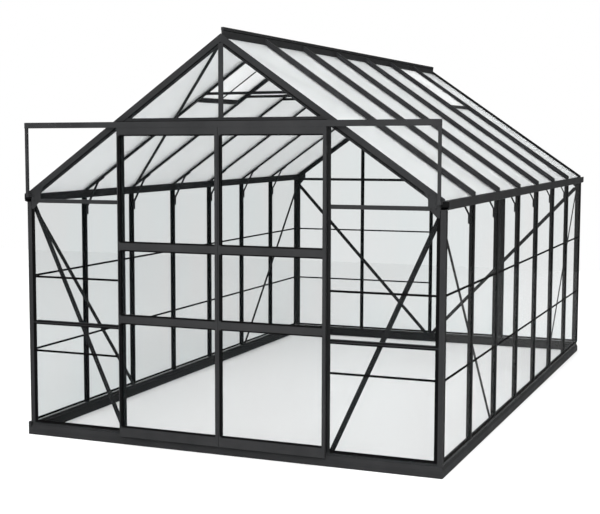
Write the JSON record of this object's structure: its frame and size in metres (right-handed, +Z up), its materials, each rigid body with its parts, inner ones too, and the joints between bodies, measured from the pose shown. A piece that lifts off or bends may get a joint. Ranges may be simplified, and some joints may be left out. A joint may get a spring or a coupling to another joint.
{
  "type": "greenhouse",
  "caption": "Free-standing glazed greenhouse with a dark metal frame, gabled roof, double sliding doors on an outside track and hinged roof vents.",
  "frame": {"origin": "centre of the footprint on the ground, under the middle of the ridge", "axes": "+Z up, +Y along the ridge away from the doors, +X to the right as seen from the doors"},
  "size_m": [2.548, 4.4275, 2.3668],
  "materials": {
    "frame_metal": "matte powder coat",
    "door_metal": "matte powder coat",
    "fitting_metal": "matte powder coat",
    "seal_rubber": "matte",
    "cap_plastic": "matte",
    "roller_plastic": "satin",
    "wall_glass": "clear",
    "roof_glass": "clear",
    "door_glass": "clear",
    "vent_glass": "clear"
  },
  "bodies": {
    "house": {"base_end_caps": "frame_metal", "collar_ties": "frame_metal", "door_header": "frame_metal", "door_jambs": "frame_metal", "door_track": "door_metal", "eave_end_blocks": "cap_plastic", "eave_gussets": "frame_metal", "front_base_rail": "frame_metal", "front_bay_bars": "frame_metal", "front_centre_post": "frame_metal", "front_glass": "wall_glass", "front_left_corner_post": "frame_metal", "front_left_rafter": "frame_metal", "front_right_corner_post": "frame_metal", "front_right_rafter": "frame_metal", "front_wind_braces": "frame_metal", "knee_braces": "frame_metal", "left_base_rail": "frame_metal", "left_eave_beam": "frame_metal", "left_roof_bars": "frame_metal", "left_roof_glass": "roof_glass", "left_wall_bars": "frame_metal", "left_wall_glass": "wall_glass", "pane_joint_strips": "seal_rubber", "rear_base_rail": "frame_metal", "rear_eave_bar": "frame_metal", "rear_gable_posts": "frame_metal", "rear_glass": "wall_glass", "rear_left_corner_post": "frame_metal", "rear_left_rafter": "frame_metal", "rear_right_corner_post": "frame_metal", "rear_right_rafter": "frame_metal", "rear_wind_braces": "frame_metal", "ridge_board": "frame_metal", "right_base_rail": "frame_metal", "right_eave_beam": "frame_metal", "right_roof_bars": "frame_metal", "right_roof_glass": "roof_glass", "right_wall_bars": "frame_metal", "right_wall_glass": "wall_glass", "roof_wind_braces": "frame_metal", "side_wind_braces": "frame_metal", "track_supports": "door_metal", "vent_hinge_barrels": "fitting_metal", "vent_sills": "frame_metal"},
    "left_door": {"left_door_frame": "door_metal", "left_door_glass": "door_glass"},
    "left_door_inner_roller": {"left_door_inner_roller": "roller_plastic"},
    "left_door_outer_roller": {"left_door_outer_roller": "roller_plastic"},
    "right_door": {"right_door_frame": "door_metal", "right_door_glass": "door_glass"},
    "right_door_inner_roller": {"right_door_inner_roller": "roller_plastic"},
    "right_door_outer_roller": {"right_door_outer_roller": "roller_plastic"},
    "left_vent": {"left_vent_frame": "frame_metal", "left_vent_pane": "vent_glass"},
    "left_vent_stay": {"left_vent_stay": "fitting_metal"},
    "right_vent": {"right_vent_frame": "frame_metal", "right_vent_pane": "vent_glass"},
    "right_vent_stay": {"right_vent_stay": "fitting_metal"}
  },
  "joints": [
    {"name": "left_door_slide", "type": "slide", "parent": "house", "child": "left_door", "axis": [-1, 0, 0], "range_m": [0, 0.585]},
    {"name": "left_inner_roller_spin", "type": "hinge", "parent": "left_door", "child": "left_door_inner_roller", "pos_m": [-0.0895, -2.225, 1.8373], "axis": [0, -1, 0], "continuous": true},
    {"name": "left_outer_roller_spin", "type": "hinge", "parent": "left_door", "child": "left_door_outer_roller", "pos_m": [-0.538, -2.225, 1.8373], "axis": [0, -1, 0], "continuous": true},
    {"name": "left_vent_hinge", "type": "hinge", "parent": "house", "child": "left_vent", "pos_m": [-0.01694, -1.244, 2.31968], "axis": [0, 1, 0], "range_deg": [0, 40]},
    {"name": "left_stay_pivot", "type": "hinge", "parent": "left_vent", "child": "left_vent_stay", "pos_m": [-0.43718, -1.244, 2.00108], "axis": [0, 1, 0], "range_deg": [0, 90]},
    {"name": "right_door_slide", "type": "slide", "parent": "house", "child": "right_door", "axis": [1, 0, 0], "range_m": [0, 0.585]},
    {"name": "right_inner_roller_spin", "type": "hinge", "parent": "right_door", "child": "right_door_inner_roller", "pos_m": [0.0895, -2.225, 1.8373], "axis": [0, 1, 0], "continuous": true},
    {"name": "right_outer_roller_spin", "type": "hinge", "parent": "right_door", "child": "right_door_outer_roller", "pos_m": [0.538, -2.225, 1.8373], "axis": [0, 1, 0], "continuous": true},
    {"name": "right_vent_hinge", "type": "hinge", "parent": "house", "child": "right_vent", "pos_m": [0.01694, 1.244, 2.31968], "axis": [0, -1, 0], "range_deg": [0, 40]},
    {"name": "right_stay_pivot", "type": "hinge", "parent": "right_vent", "child": "right_vent_stay", "pos_m": [0.43718, 1.244, 2.00108], "axis": [0, -1, 0], "range_deg": [0, 90]}
  ],
  "couplings": [
    {"joint": "left_inner_roller_spin", "follows": "left_door_slide", "rad_per_m": 100},
    {"joint": "left_outer_roller_spin", "follows": "left_door_slide", "rad_per_m": 100},
    {"joint": "right_inner_roller_spin", "follows": "right_door_slide", "rad_per_m": 100},
    {"joint": "right_outer_roller_spin", "follows": "right_door_slide", "rad_per_m": 100}
  ]
}
